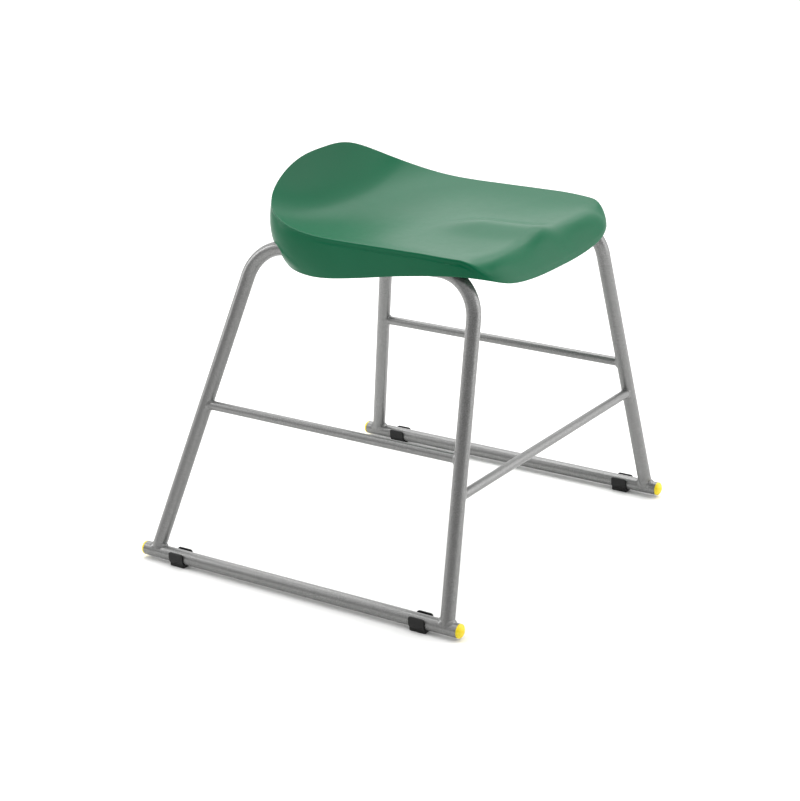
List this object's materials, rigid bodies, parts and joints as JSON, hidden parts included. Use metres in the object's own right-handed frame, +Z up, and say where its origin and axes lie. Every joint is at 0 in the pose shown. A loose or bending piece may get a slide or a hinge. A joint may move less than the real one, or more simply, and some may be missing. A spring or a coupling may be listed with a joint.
{
  "type": "skid base stool",
  "caption": "Low stool with a moulded plastic saddle seat, raised at the back, on a welded round-tube skid frame with side rungs and a front foot rail.",
  "frame": {"origin": "middle of the floor area under the stool, on the floor", "axes": "+Z up, the sitter faces -Y, +X is the sitter's left, and the stool is symmetric about the YZ plane"},
  "size_m": [0.5618, 0.513, 0.5256],
  "materials": {
    "seat_plastic": "satin moulded polypropylene, fine texture",
    "frame_paint": "satin silver-grey powder coat with fine metal flake",
    "zinc_fixings": "bright zinc plate",
    "plug_plastic": "semi-gloss moulded polyethylene",
    "glide_plastic": "matt moulded nylon"
  },
  "bodies": {
    "root": {"seat_shell": "seat_plastic", "left_leg_tube": "frame_paint", "right_leg_tube": "frame_paint", "left_skid_tube": "frame_paint", "right_skid_tube": "frame_paint", "left_rung": "frame_paint", "right_rung": "frame_paint", "front_foot_rail": "frame_paint", "front_seat_strap": "frame_paint", "rear_seat_strap": "frame_paint", "left_weld_beads": "frame_paint", "right_weld_beads": "frame_paint", "seat_washers": "zinc_fixings", "seat_screws": "zinc_fixings", "left_front_plug": "plug_plastic", "left_rear_plug": "plug_plastic", "right_front_plug": "plug_plastic", "right_rear_plug": "plug_plastic", "left_front_glide": "glide_plastic", "left_rear_glide": "glide_plastic", "right_front_glide": "glide_plastic", "right_rear_glide": "glide_plastic"}
  },
  "joints": []
}
